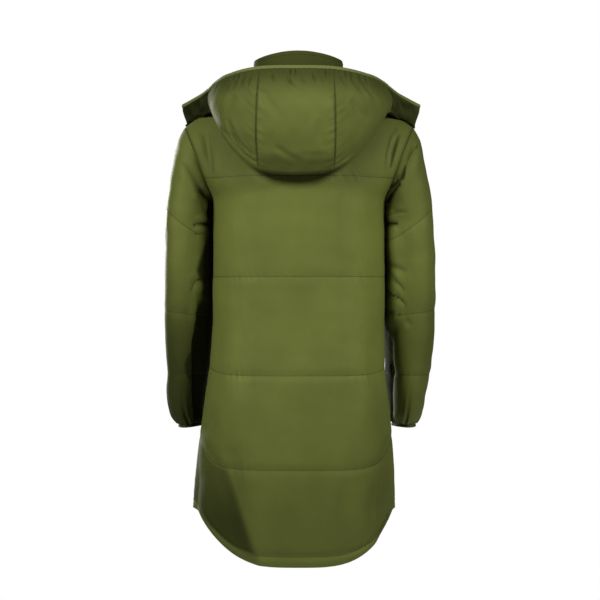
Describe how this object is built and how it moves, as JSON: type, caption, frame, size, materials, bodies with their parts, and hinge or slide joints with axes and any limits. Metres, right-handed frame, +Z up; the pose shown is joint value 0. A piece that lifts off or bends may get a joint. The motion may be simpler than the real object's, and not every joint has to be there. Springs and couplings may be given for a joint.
{
  "type": "puffer parka",
  "caption": "Thigh-length padded coat, hollow as if worn, zipped to a stand collar, with its hood down its back and its back hem dropped.",
  "frame": {"origin": "between the neck ends of the shoulder seams, where the coat hangs on its wearer", "axes": "+Z up, +Y out of the coat's back, +X to the wearer's left"},
  "size_m": [0.5411, 0.3349, 1.0067],
  "materials": {
    "shell": "smooth woven nylon with a soft satin sheen, olive",
    "binding": "narrow elastic binding, light olive",
    "zip_tape": "woven zip tape, dark olive",
    "zip_metal": "dark satin metal"
  },
  "bodies": {
    "garment": {"back": "shell", "front_left": "shell", "front_right": "shell", "sleeve_left": "shell", "sleeve_right": "shell", "collar": "shell", "hood_centre": "shell", "hood_side_left": "shell", "hood_side_right": "shell", "hood_binding": "binding", "cuff_binding_left": "binding", "cuff_binding_right": "binding", "zip_tape_left": "zip_tape", "zip_tape_right": "zip_tape", "zip_slider": "zip_metal"},
    "zip_pull": {"zip_pull": "zip_metal"}
  },
  "joints": [
    {"name": "zip_pull_swing", "type": "hinge", "parent": "garment", "child": "zip_pull", "pos_m": [0, -0.08998, -0.0165], "axis": [-1, 0, 0], "range_deg": [0, 165]}
  ]
}
